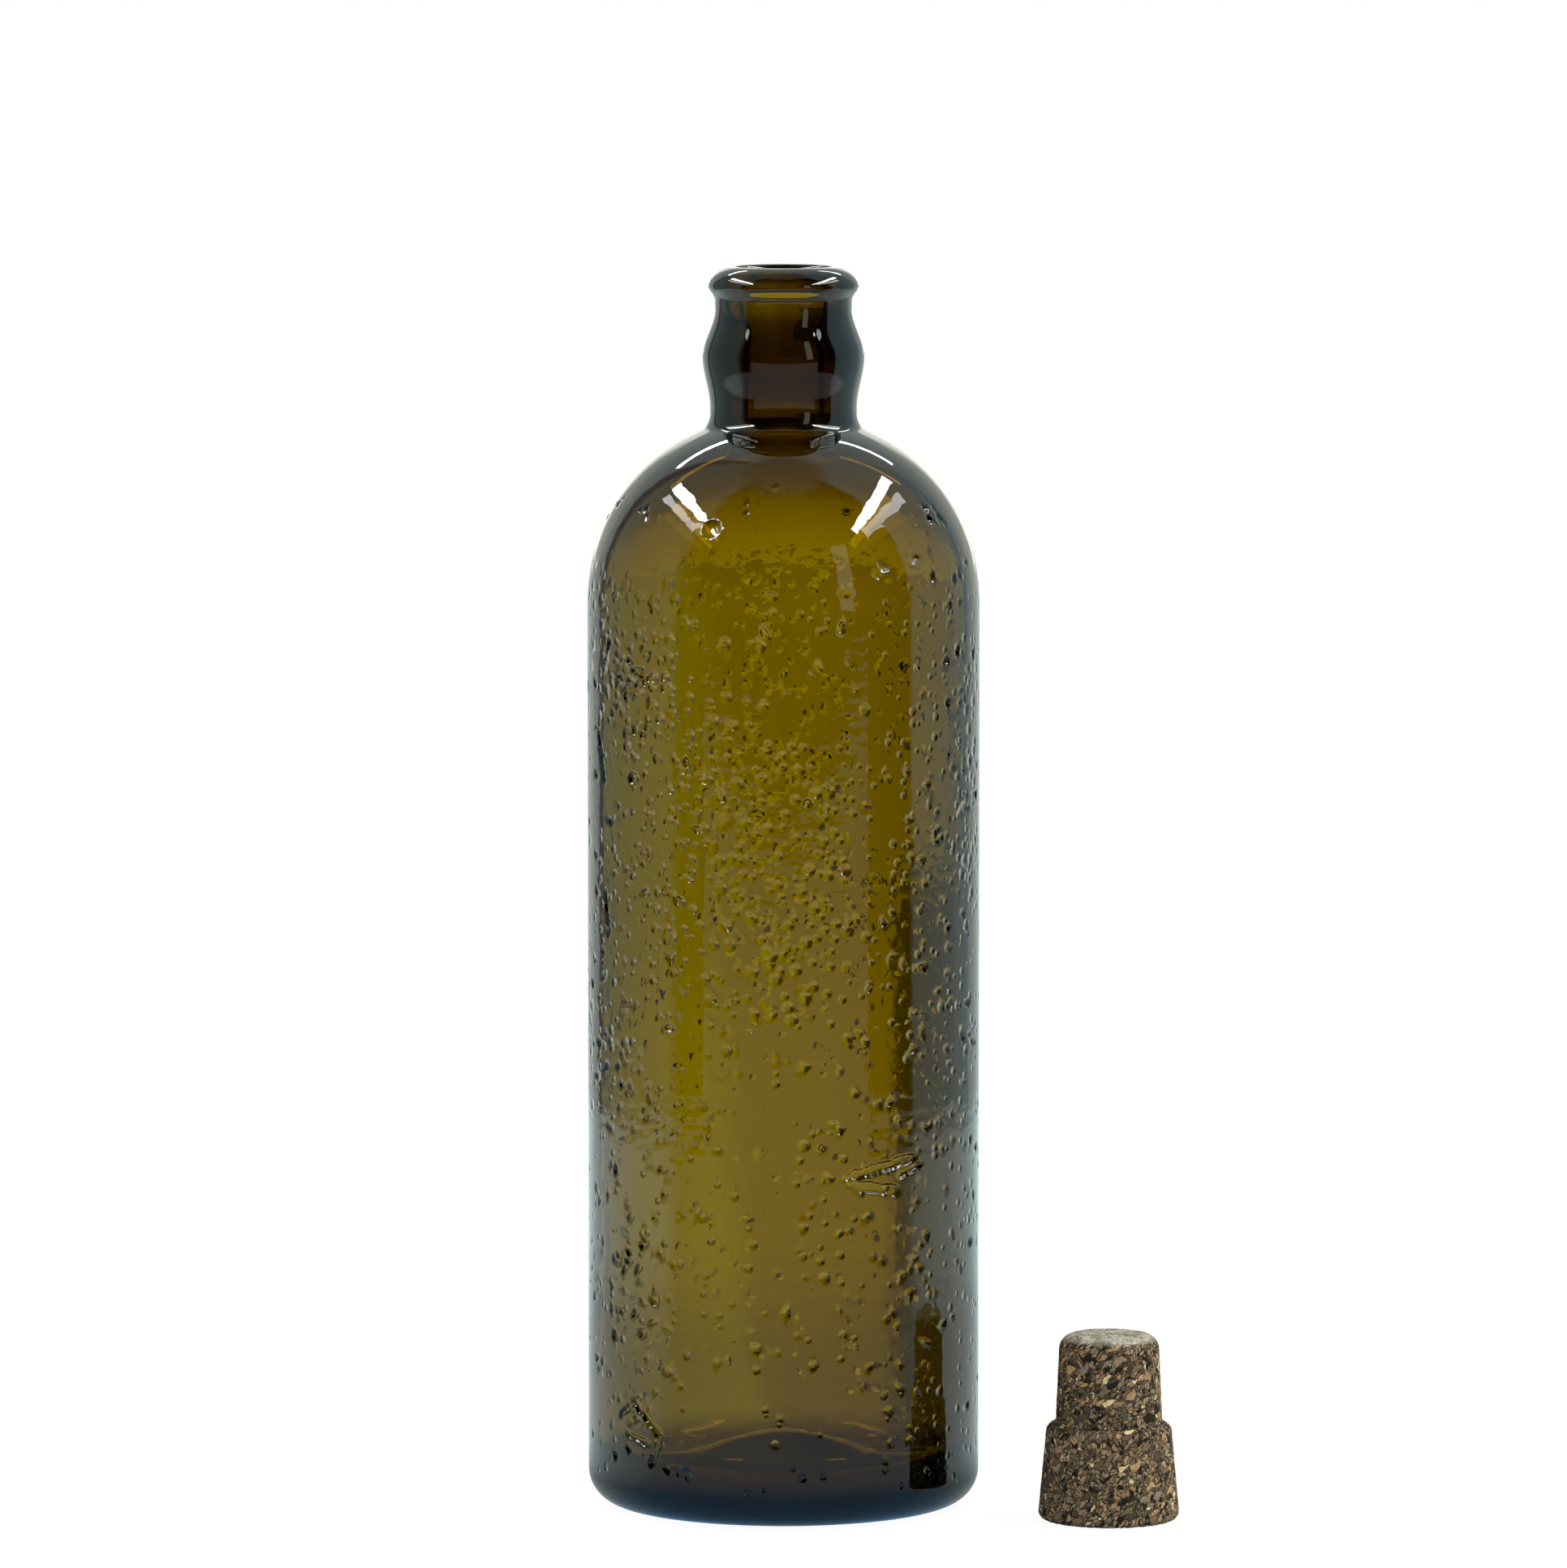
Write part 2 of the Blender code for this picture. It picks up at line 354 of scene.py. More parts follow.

# %% [markdown]
# ## The table
# The floor reads as pure white, with no more than a breath of shadow where things touch it. A plain
# diffuse plane would need very strong light to burn out like that, so most of what the eye sees of
# it is a steady glow. Mirror-like rays see a painted reflection: how the table's light falls off
# towards the camera, up to its front edge, the two dark panels painted where they would stand, and
# a painted bluish shadow round the bottle's foot. Refracted rays see the table behind the bottle
# with painted shadows, darker where the pieces shade it, and a painted glow to the left.

# %% Table
TABLE_HALF = 6.0
TABLE_GAP = 0.0002
TABLE_FRONT = 1.37
LEFT_PANEL_AZIMUTH = 47
RIGHT_PANEL_AZIMUTH = 50
PANEL_FEET = 0.66
NEAR_TABLE = 0.62
FAR_TABLE = 0.37
SIDE_TABLE = (0.74, 0.86, 0.88, 1.0)
SIDE_TABLE_FAR = (0.95, 1.16, 1.16, 1.0)
MIRRORED_CONTACT_SHADE = (0.20, 0.38, 0.60, 1.0)
MIRRORED_SIDE_SHADE = (0.34, 0.42, 0.43, 1.0)
LEFT_GLOW = (1.30, 1.50, 1.20, 1.0)
CONTACT_START = 0.021
CONTACT_END = 0.036
MIDDLE_START = 0.17
MIDDLE_END = 0.40
MIDDLE_LIGHT = 0.64
FAR_START = 0.75
FAR_END = 1.05
FAR_LOSS = 0.11
CONTACT_LIGHT = 0.10
SHADE_SLOPE = 0.060
SHADE_EDGE = 0.014
SHADE_DEPTH = 1.22
SHADE_LIGHT = 0.22
NEAR_RANGE = (0.05, 0.50)
SIDE_RANGE = (0.25, 0.42)
MIRROR_CONTACT = (0.045, 0.10)
FOOT_AZIMUTHS = (40, 85)
WALL_SOFT = (9, 7)
PANEL_SOFT = (0.06, 0.02)
GAP_RANGE = (0.15, 0.30)
SHADE_SOFT = 0.016
SHADE_END_SOFT = 0.12
GLOW_RANGE = (0.015, 0.07)
GLOW_NEAREST = 0.05
TABLE_WHITE = 0.8
TABLE_GLOW = 0.92
TABLE_GLOW_LIGHT = 1.04


def add_table():
    """A large plane just under the pieces, with the glow and the reflections described above."""
    bpy.ops.object.select_all(action="DESELECT")
    bpy.ops.mesh.primitive_plane_add(size=TABLE_HALF * 2, location=(0.0, 0.0, -TABLE_GAP))
    table = bpy.context.object
    table.name = "Table"
    material = bpy.data.materials.new("White table")
    sheet, output = new_tree(material, "ShaderNodeOutputMaterial")
    place = sheet.node("ShaderNodeTexCoord", output="Object")
    across, deep, up = place.vector("SUBTRACT", (AXIS_X, 0.0, 0.0)).axes()
    distance = (across * across + deep * deep) ** 0.5
    azimuth = maths("ABSOLUTE", maths("ARCTAN2", across, 0 - deep))
    on_right = across > 0.0
    # Painted reflection for mirror-like rays: the table's light falling off, dark where the panels
    # would stand, the side walls beyond.
    level = (1 - distance.smooth(*NEAR_RANGE)) * (NEAR_TABLE - FAR_TABLE) + FAR_TABLE
    panel = on_right * radians(RIGHT_PANEL_AZIMUTH) + (1 - on_right) * radians(LEFT_PANEL_AZIMUTH)
    clear = maths("MAXIMUM", azimuth < panel, distance < PANEL_FEET)
    front = (level * clear * ((0 - deep) < TABLE_FRONT)).pick(grey(0.0), grey(1.0))
    walls = side_walls(across, azimuth, front)
    left_start, right_start = radians(LEFT_WALL_AZIMUTH), radians(RIGHT_WALL_AZIMUTH)
    wall_start = on_right * right_start + (1 - on_right) * left_start
    beside = beyond(azimuth - wall_start, 0, *WALL_SOFT)
    inside, outside = PANEL_SOFT
    beside = beside * (1 - distance.smooth(PANEL_FEET - inside, PANEL_FEET + outside))
    side_table = distance.smooth(*SIDE_RANGE).pick(SIDE_TABLE, SIDE_TABLE_FAR)
    # Painted shadow round the bottle's foot, as mirror-like rays see it: bluish in front, grey at the
    # sides.
    contact = distance.smooth(*MIRROR_CONTACT)
    foot_start, foot_end = FOOT_AZIMUTHS
    sideways = azimuth.smooth(radians(foot_start), radians(foot_end))
    foot = sideways.pick(MIRRORED_CONTACT_SHADE, MIRRORED_SIDE_SHADE)
    seen = contact.pick(foot, beside.pick(walls, side_table))
    mirrored = sheet.node("ShaderNodeEmission", {}, {"Color": seen})
    # Painted shadows on the table behind the bottle, for refracted rays: dark where it touches,
    # dimmer close by, dark gaps at the sides and a shaded band to the right, with a painted greenish
    # glow to the left.
    behind = distance.smooth(CONTACT_START, CONTACT_END) * (1 - CONTACT_LIGHT) + CONTACT_LIGHT
    middle = distance.smooth(MIDDLE_START, MIDDLE_END) * (1 - MIDDLE_LIGHT) + MIDDLE_LIGHT
    behind = behind * middle * (1 - distance.smooth(FAR_START, FAR_END) * FAR_LOSS)
    gap = side_gap(azimuth) * distance.smooth(*GAP_RANGE)
    shade = (across - deep * SHADE_SLOPE).smooth(SHADE_EDGE, SHADE_EDGE + SHADE_SOFT)
    shade = shade * (1 - deep.smooth(SHADE_DEPTH - SHADE_END_SOFT, SHADE_DEPTH + SHADE_END_SOFT))
    behind = behind * (1 - gap * (1 - GAP_LIGHT)) * (1 - shade * (1 - SHADE_LIGHT))
    left_share = (0 - across / maths("MAXIMUM", deep, GLOW_NEAREST)).smooth(*GLOW_RANGE)
    glow_tint = left_share.pick(grey(1.0), LEFT_GLOW)
    refracted = sheet.node("ShaderNodeEmission", {}, {"Color": behind.pick(grey(0.0), glow_tint)})
    glow = sheet.node("ShaderNodeEmission", {}, {"Color": grey(TABLE_GLOW_LIGHT)})
    white = sheet.node("ShaderNodeBsdfDiffuse", {}, {"Color": grey(TABLE_WHITE)})
    eye = sheet.node("ShaderNodeLightPath", output="Is Camera Ray")
    through = sheet.node("ShaderNodeLightPath", output="Is Transmission Ray")
    glossy = sheet.node("ShaderNodeLightPath", output="Is Glossy Ray")
    plain = sheet.node("ShaderNodeMixShader", {}, {0: eye * TABLE_GLOW, 1: white, 2: glow})
    bent = sheet.node("ShaderNodeMixShader", {}, {0: through * (1 - eye), 1: plain, 2: refracted})
    mirror_like = glossy * (1 - through)
    surface = sheet.node("ShaderNodeMixShader", {}, {0: mirror_like, 1: bent, 2: mirrored})
    sheet.tree.links.new(surface.socket, output.inputs["Surface"])
    table.data.materials.append(material)


add_table()
print("table reaches", TABLE_FRONT, "m towards the camera")

# %% [markdown]
# ## The outline of the bottle
# The bottle is a turned form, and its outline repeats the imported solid's: a lip, a waist, a swollen
# ring, a foot where the neck joins the shoulder, a domed shoulder that is a little squarer than an
# ellipse, a straight body and a round heel. The outline is worked out from the same sizes, only
# with many more steps, so that reflections run along it without facets.

# %% Sizes of the bottle
BODY_RADIUS = 38.0 * MM
WALL = 2.9 * MM
SHOULDER_WALL = 4.4 * MM
HEEL_RADIUS = 6.8 * MM
SHOULDER_HEIGHT = 174.8 * MM
SHOULDER_RISE = 37.5 * MM
SHOULDER_POWER = 2.12
NECK_RADIUS = 14.2 * MM
NECK_FOOT_WIDTH = 2.0 * MM
NECK_FOOT_TOP = 213.5 * MM
BULGE_RADIUS = 15.67 * MM
BULGE_HEIGHT = 223.5 * MM
WAIST_RADIUS = 13.25 * MM
WAIST_BOTTOM = 233.0 * MM
WAIST_TOP = 234.2 * MM
LIP_RADIUS = 14.6 * MM
LIP_HEIGHT = 237.2 * MM
LIP_POWER = 1.6
BOTTLE_HEIGHT = 240.8 * MM
BORE_RADIUS = 8.5 * MM
MOUTH_RADIUS = 9.25 * MM
MOUTH_DEPTH = 20.0 * MM
RIM_INNER_ROUND = 1.0 * MM
RIM_FLAT = 0.4 * MM
BORE_FOOT_WIDTH = 4.5 * MM
BORE_FOOT_TOP = 211.0 * MM
FLOOR_HEIGHT = 7.4 * MM
FLOOR_CROWN = 6.6 * MM
FLOOR_FILLET = 7.0 * MM
BEARING_INNER_RADIUS = 26.5 * MM
PUSH_UP_RADIUS = 18.0 * MM
PUSH_UP_HEIGHT = 3.0 * MM
PUSH_UP_CROWN = 3.4 * MM
PUSH_UP_EDGE = 0.6 * MM
RIDGE_HALF_WIDTH = 0.7 * MM
RIDGE_HEIGHT = 0.45 * MM

# %% Curves of the outline
def arc(centre, radius, start, end, steps):
    """Points on a round stretch of an outline, between two angles in degrees."""
    points = []
    for index in range(steps + 1):
        angle = radians(start + (end - start) * index / steps)
        points.append((centre[0] + radius * cos(angle), centre[1] + radius * sin(angle)))
    return points


def swell(start, end, steps):
    """Points from just after one place to another, upright at both ends like a wave's side."""
    points = []
    for index in range(1, steps + 1):
        share = index / steps
        blend = (1 - cos(pi * share)) / 2
        points.append((start[0] + (end[0] - start[0]) * blend,
                       start[1] + (end[1] - start[1]) * share))
    return points


def straight(start, end, steps):
    """Points from just after one place to another, in a line."""
    points = []
    for index in range(1, steps + 1):
        share = index / steps
        points.append((start[0] + (end[0] - start[0]) * share,
                       start[1] + (end[1] - start[1]) * share))
    return points


def mound(edge, height, rise, steps):
    """Points on a low mound, from its top on the axis out to its edge."""
    points = []
    for index in range(steps + 1):
        share = index / steps
        points.append((edge * share, height + rise * (1 + cos(pi * share)) / 2))
    return points


def oval(centre, width, rise, power, turn):
    """A point on a quarter of a rounded oval, from its side at turn 0 up to its top at pi / 2."""
    return (centre[0] + width * cos(turn) ** (2 / power),
            centre[1] + rise * sin(turn) ** (2 / power))


def domed_shoulder(radius, rise, tube_radius, foot_width, foot_top, foot_steps, dome_steps):
    """A shoulder and the round foot of the upright tube on it, from the foot's top down."""
    centre = (0.0, SHOULDER_HEIGHT)
    foot_share = (tube_radius + foot_width) / radius
    lean = acos(foot_share ** (SHOULDER_POWER / 2))
    low = oval(centre, radius, rise, SHOULDER_POWER, lean)
    height_share = (low[1] - SHOULDER_HEIGHT) / rise
    slope = rise / radius * (foot_share / height_share) ** (SHOULDER_POWER - 1)
    corner = (tube_radius, low[1] + slope * foot_width)
    top = (tube_radius, foot_top)
    points = []
    for index in range(foot_steps + 1):
        share = index / foot_steps
        weights = ((1 - share) ** 2, 2 * share * (1 - share), share ** 2)
        points.append(tuple(sum(weight * place[axis] for weight, place
                                in zip(weights, (top, corner, low))) for axis in (0, 1)))
    for index in range(1, dome_steps + 1):
        turn = lean * (1 - index / dome_steps)
        points.append(oval(centre, radius, rise, SHOULDER_POWER, turn))
    return points


# %% The whole outline
BODY_ROWS = 104
INNER_BODY_ROWS = 36
FLOOR_STEPS = 40


def outer_wall():
    """The outside, from the rim down to the bearing ring."""
    lip_centre = (MOUTH_RADIUS + RIM_INNER_ROUND + RIM_FLAT, LIP_HEIGHT)
    lip_width = LIP_RADIUS - lip_centre[0]
    lip_rise = BOTTLE_HEIGHT - LIP_HEIGHT
    points = [oval(lip_centre, lip_width, lip_rise, LIP_POWER, pi / 2 * (1 - step / 14))
              for step in range(15)]
    waist_top = (WAIST_RADIUS, WAIST_TOP)
    waist_bottom = (WAIST_RADIUS, WAIST_BOTTOM)
    bulge = (BULGE_RADIUS, BULGE_HEIGHT)
    points += swell((LIP_RADIUS, LIP_HEIGHT), waist_top, 8)
    points += [waist_bottom]
    points += swell(waist_bottom, bulge, 14)
    points += swell(bulge, (NECK_RADIUS, NECK_FOOT_TOP), 12)
    points += domed_shoulder(BODY_RADIUS, SHOULDER_RISE, NECK_RADIUS, NECK_FOOT_WIDTH,
                             NECK_FOOT_TOP, 10, 30)
    points += straight((BODY_RADIUS, SHOULDER_HEIGHT), (BODY_RADIUS, HEEL_RADIUS), BODY_ROWS)
    points += arc((BODY_RADIUS - HEEL_RADIUS, HEEL_RADIUS), HEEL_RADIUS, 0, -90, 14)
    return points


def underside():
    """The bearing ring's inner edge and the shallow push-up, out to in."""
    edge = (PUSH_UP_RADIUS + PUSH_UP_EDGE, PUSH_UP_HEIGHT - PUSH_UP_EDGE)
    points = [(BEARING_INNER_RADIUS, 0.0)]
    points += straight(points[-1], edge, 6)
    points += arc((PUSH_UP_RADIUS, edge[1]), PUSH_UP_EDGE, 0, 90, 4)[1:]
    points += reversed(mound(PUSH_UP_RADIUS, PUSH_UP_HEIGHT, PUSH_UP_CROWN, 12))
    return points


def inner_wall():
    """The inside, from the middle of the floor up to the rim."""
    inner_radius = BODY_RADIUS - WALL
    corner = (inner_radius - FLOOR_FILLET, FLOOR_HEIGHT + FLOOR_FILLET)
    rim = (MOUTH_RADIUS + RIM_INNER_ROUND, BOTTLE_HEIGHT - RIM_INNER_ROUND)
    rise = SHOULDER_RISE - SHOULDER_WALL
    shoulder = domed_shoulder(inner_radius, rise, BORE_RADIUS, BORE_FOOT_WIDTH, BORE_FOOT_TOP, 8, 20)
    points = []
    for radius, height in mound(corner[0], FLOOR_HEIGHT, FLOOR_CROWN, FLOOR_STEPS):
        ridge = max(0.0, 1 - abs(radius - PUSH_UP_RADIUS) / RIDGE_HALF_WIDTH)
        points.append((radius, height + RIDGE_HEIGHT * ridge))
    points += arc(corner, FLOOR_FILLET, -90, 0, 12)
    points += straight(points[-1], (inner_radius, SHOULDER_HEIGHT), INNER_BODY_ROWS)
    points += reversed(shoulder)
    points += [(BORE_RADIUS, BOTTLE_HEIGHT - MOUTH_DEPTH)]
    points += swell(points[-1], (MOUTH_RADIUS, rim[1]), 4)
    points += arc(rim, RIM_INNER_ROUND, 180, 90, 5)
    return points


bottle_outline = inner_wall() + outer_wall() + underside()
print("outline of", len(bottle_outline), "points")

# %% [markdown]
# ## Spinning an outline
# A potter's way suits both pieces: one vertex is extruded along the outline, and the line is spun
# once round the axis. A Screw modifier would do the same, but the spun mesh can be worked on at
# once in edit mode. The seam's doubles are merged before the normals are made to agree.

# %% Spin
MERGE = 0.00001


def choose(piece):
    """Select one piece alone."""
    bpy.ops.object.select_all(action="DESELECT")
    piece.select_set(True)
    bpy.context.view_layer.objects.active = piece


def edit(piece):
    """Enter edit mode on one piece alone."""
    choose(piece)
    bpy.ops.object.mode_set(mode="EDIT")


def without_repeats(points):
    """The same outline without points that fall on the one before."""
    kept = [points[0]]
    for point in points[1:]:
        if hypot(point[0] - kept[-1][0], point[1] - kept[-1][1]) > MERGE * 2:
            kept.append(point)
    return kept


def spun(name, outline, centre, steps):
    """A closed turned piece: a line extruded along an outline, then spun once round."""
    points = without_repeats(outline)
    bpy.ops.object.select_all(action="DESELECT")
    bpy.ops.mesh.primitive_plane_add(size=MM, location=(0.0, 0.0, 0.0))
    piece = bpy.context.object
    piece.name = name
    bpy.context.tool_settings.mesh_select_mode = (True, False, False)
    edit(piece)
    bpy.ops.mesh.select_all(action="SELECT")
    bpy.ops.mesh.merge(type="CENTER")
    bpy.ops.transform.translate(value=(centre[0] + points[0][0], centre[1], points[0][1]))
    for before, after in zip(points, points[1:]):
        step = (after[0] - before[0], 0.0, after[1] - before[1])
        bpy.ops.mesh.extrude_region_move(TRANSFORM_OT_translate={"value": step})
    bpy.ops.mesh.select_all(action="SELECT")
    bpy.ops.mesh.spin(steps=steps, angle=2 * pi, center=(*centre, 0.0), axis=(0.0, 0.0, 1.0))
    bpy.ops.mesh.select_all(action="SELECT")
    bpy.ops.mesh.remove_doubles(threshold=MERGE)
    bpy.ops.mesh.normals_make_consistent(inside=False)
    bpy.ops.object.mode_set(mode="OBJECT")
    bpy.ops.object.shade_smooth()
    return piece


BOTTLE_STEPS = 144
bottle = spun("glass_bottle", bottle_outline, (AXIS_X, 0.0), BOTTLE_STEPS)
print("bottle spun:", len(bottle.data.polygons), "faces")

# %% [markdown]
# ## Pits and scars
# The real glass was blown to look old: hundreds of hollows a millimetre or so across cover the body
# and the shoulder, with a few larger scars and round blisters. Bump in a shader would bend light a
# little, but these hollows show at the outline and throw dark and bright spots, so they are made in
# the mesh. The largest are placed where the photo has them, by a line of sight from the camera to
# the glass. The rest are scattered by a seeded draw, in drifts.

# %% Where a line of sight meets the glass
PHOTO_WIDTH = 1931
PHOTO_MIDDLE = (965.5, 966.0)
FOCAL_PIXELS = LENS / SENSOR * PHOTO_WIDTH
SIGHT_START = BODY_RADIUS * 1.05
SIGHT_STEP = 0.05 * MM


def outer_radius(height):
    """The outside's radius on the body and the shoulder."""
    share = max(height - SHOULDER_HEIGHT, 0.0) / SHOULDER_RISE
    return BODY_RADIUS * max(1 - share ** SHOULDER_POWER, 0.0) ** (1 / SHOULDER_POWER)


def sight(pixel_x, pixel_y):
    """The turn round the axis, from the camera side, and the height that a photo pixel shows."""
    tilt = radians(CAMERA_TILT)
    right = (pixel_x - PHOTO_MIDDLE[0]) / FOCAL_PIXELS
    up = (PHOTO_MIDDLE[1] - pixel_y) / FOCAL_PIXELS
    forward = cos(tilt) + up * sin(tilt)
    rise = up * cos(tilt) - sin(tilt)
    travel = CAMERA_DISTANCE - SIGHT_START
    while travel < CAMERA_DISTANCE:
        reach = travel / forward
        across, deep, height = reach * right, travel - CAMERA_DISTANCE, CAMERA_HEIGHT + reach * rise
        if hypot(across, deep) < outer_radius(height):
            break
        travel += SIGHT_STEP
    return np.arctan2(across, -deep), height


# %% The marks that the photo shows
BIG_SCARS = {
    "patch, high middle": (938, 792, 15, 14),
    "patch, top": (925, 628, 16, 7),
    "blister, middle left": (900, 1090, 14, 8),
    "blisters, middle": (955, 1185, 17, 17),
    "blisters, lower middle": (942, 1242, 15, 13),
    "cluster, high left": (778, 835, 22, 26),
    "cluster, left": (788, 850, 20, 20),
    "spots, left": (835, 948, 17, 15),
    "pit, right": (1150, 1033, 14, 15),
    "pits, right of middle": (1040, 1136, 16, 10),
    "pit pair, right of middle": (1045, 1195, 14, 8),
    "blister, right": (1103, 1178, 9, 9),
    "pit, far right": (1165, 1200, 9, 12),
    "pit, left edge": (770, 1296, 14, 18),
    "pit, lower left": (880, 1232, 9, 10),
    "pit, low middle": (855, 1362, 9, 7),
    "pit, lower middle": (864, 1502, 11, 12),
    "round blister, low left": (825, 1690, 10, 11),
    "pit, low right": (1145, 1690, 9, 16),
    "cluster, low left": (773, 1552, 20, 17),
    "cluster, lower left": (800, 1597, 16, 14),
    "pits, right flank": (1190, 860, 12, 22),
    "pits, right flank high": (1175, 750, 13, 12),
    "pits, low right of middle": (1055, 1282, 15, 13),
    "pits, middle": (960, 1302, 14, 9),
    "pits, shoulder right": (1148, 640, 14, 20),
    "pit, shoulder left": (797, 634, 12, 10),
    "scar, right flank": (1085, 705, 12, 18),
}
SCAR_LINES = {
    "long scar, upper edge": ((1050, 1450), (1122, 1428), 7),
    "long scar, bowl": ((1056, 1462), (1098, 1466), 9),
    "long scar, right end": ((1112, 1446), (1128, 1438), 6),
    "hooked scar, arm": ((766, 1742), (786, 1724), 5),
    "hooked scar, back": ((784, 1730), (813, 1768), 6),
    "hooked scar, foot": ((813, 1770), (804, 1802), 6),
    "hooked scar, inside": ((775, 1768), (795, 1778), 6),
    "scar, upper left": ((738, 905), (744, 960), 5),
    "scar, left edge": ((746, 1100), (750, 1150), 5),
}
ROUND_BLISTERS = {
    "ring in the left streak": (877, 652, 12, 0.10),
    "lens, middle": (992, 1228, 7, 0.35),
    "lens, high": (995, 990, 6, 0.35),
    "lens, left": (783, 900, 8, 0.40),
    "lens, lower left": (780, 959, 9, 0.45),
    "lens, low": (932, 1662, 7, 0.35),
    "lens, low right": (1002, 1683, 6, 0.35),
    "lens, low left": (792, 1643, 8, 0.40),
    "lens, lower middle": (990, 1513, 6, 0.30),
}
PIXEL = 0.156 * MM
PIXELS_PER_PART = 40
LARGEST_PART = 14
SCAR_FILL = 0.8
PART_SIZES = (0.22, 0.46)
PART_DEPTHS = (0.35, 0.65)
PART_STRETCHES = (1.0, 1.6)
LINE_SIZES = (0.85, 1.15)
LINE_DEPTH = 0.70
LINE_STRETCH = 1.5
RING_SHARE = 0.35

draw = random.Random(11)
hollows = []


def add_hollow(turn, height, radius, depth, stretch=1.0, ring=0.0, lean=None):
    """Note one hollow: its place on the glass, size, depth, how long it is and which way."""
    drawn_lean = draw.uniform(0, pi)
    hollows.append({"turn": turn, "height": height, "radius": radius, "depth": depth,
                    "stretch": stretch, "ring": ring, "wave": draw.uniform(0, 2 * pi),
                    "lean": drawn_lean if lean is None else lean})


for name, (pixel_x, pixel_y, half_width, half_height) in BIG_SCARS.items():
    parts = max(3, round(half_width * half_height / PIXELS_PER_PART))
    for part in range(parts):
        along = draw.uniform(-SCAR_FILL, SCAR_FILL)
        aside = draw.uniform(-SCAR_FILL, SCAR_FILL)
        turn, height = sight(pixel_x + along * half_width, pixel_y + aside * half_height)
        radius = draw.uniform(*PART_SIZES) * min(half_width, half_height, LARGEST_PART) * PIXEL
        add_hollow(turn, height, radius, radius * draw.uniform(*PART_DEPTHS),
                   draw.uniform(*PART_STRETCHES))
for name, (start, end, half_width) in SCAR_LINES.items():
    length = hypot(end[0] - start[0], end[1] - start[1])
    lean = np.arctan2(start[1] - end[1], end[0] - start[0])
    parts = max(2, round(length / half_width))
    for part in range(parts + 1):
        share = part / parts
        turn, height = sight(start[0] + (end[0] - start[0]) * share,
                             start[1] + (end[1] - start[1]) * share)
        radius = half_width * PIXEL * draw.uniform(*LINE_SIZES)
        add_hollow(turn, height, radius, radius * LINE_DEPTH, LINE_STRETCH, lean=lean)
for name, (pixel_x, pixel_y, half, depth_share) in ROUND_BLISTERS.items():
    turn, height = sight(pixel_x, pixel_y)
    add_hollow(turn, height, half * PIXEL, half * PIXEL * depth_share, ring=RING_SHARE)
print(len(hollows), "hollows in the marked scars")

# %% The scattered hollows
DRIFTS = 46
SCATTERED = 720
LOWEST_PIT = 9.0 * MM
HIGHEST_PIT = 201.0 * MM
FLANK_SHARE = 0.34
LEFT_FLANK_SHARE = 0.62
FLANK_TURNS = (0.52, 1.30)
DRIFT_SHARE = 0.33
DRIFT_TURN = 0.13
DRIFT_RISE = 8.0 * MM
LEAST_PIT = 0.45 * MM
PIT_RANGE = 0.60 * MM
PIT_DEPTHS = (0.28, 0.62)
PIT_STRETCHES = (1.0, 1.30)
STREAKS = ((850, 626), (1083, 626))
STREAK_TURN = 0.42
STREAK_HALF_HEIGHT = 9 * MM
streak_places = [sight(*pixel) for pixel in STREAKS]


def in_streak(turn, height):
    """Whether a place is where the lamps' streaks lie, which the photo shows nearly whole."""
    for streak_turn, streak_height in streak_places:
        aside = (turn - streak_turn + pi) % (2 * pi) - pi
        if abs(aside) < STREAK_TURN and abs(height - streak_height) < STREAK_HALF_HEIGHT:
            return True
    return False


drifts = [(draw.uniform(0, 2 * pi), draw.uniform(LOWEST_PIT, HIGHEST_PIT - DRIFT_RISE))
          for drift in range(DRIFTS)]
for pit in range(SCATTERED):
    kind = draw.random()
    if kind < FLANK_SHARE:
        side = -1 if draw.random() < LEFT_FLANK_SHARE else 1
        turn = side * draw.uniform(*FLANK_TURNS)
        height = draw.uniform(LOWEST_PIT, SHOULDER_HEIGHT)
    elif kind < FLANK_SHARE + DRIFT_SHARE:
        drift_turn, drift_height = draw.choice(drifts)
        turn = drift_turn + draw.gauss(0, DRIFT_TURN)
        height = drift_height + draw.gauss(0, DRIFT_RISE)
    else:
        turn = draw.uniform(0, 2 * pi)
        height = draw.uniform(LOWEST_PIT, HIGHEST_PIT)
    if LOWEST_PIT < height < HIGHEST_PIT and not in_streak(turn, height):
        radius = LEAST_PIT + PIT_RANGE * draw.random() ** 2
        add_hollow(turn, height, radius, radius * draw.uniform(*PIT_DEPTHS),
                   draw.uniform(*PIT_STRETCHES))
print(len(hollows), "hollows in all")

# %% [markdown]
# ## Finer faces where a hollow goes
# Even faces all over, small enough for a half-millimetre hollow, would make a mesh of millions.
# Instead the faces near each hollow are selected by their distance and subdivided, in two or three
# rounds. New vertices start on the flat of the old face, so they are set back on the true curve.

# %% Distances from the hollows
SLOPE_STEP = 0.05 * MM
OUTSIDE_DEPTH = WALL * 0.45
OUTSIDE_TOP = HIGHEST_PIT + 5.0 * MM


def points_of(piece):
    """The vertices' places as an array."""
    places = np.empty(len(piece.data.vertices) * 3)
    piece.data.vertices.foreach_get("co", places)
    return places.reshape(-1, 3)


def face_centres(piece):
    """The faces' middles as an array."""
    places = np.empty(len(piece.data.polygons) * 3)
    piece.data.polygons.foreach_get("center", places)
    return places.reshape(-1, 3)


def on_glass(turn, height):
    """The place on the outside at a turn from the camera side and a height."""
    radius = outer_radius(height)
    return np.array((AXIS_X + radius * sin(turn), -radius * cos(turn), height))


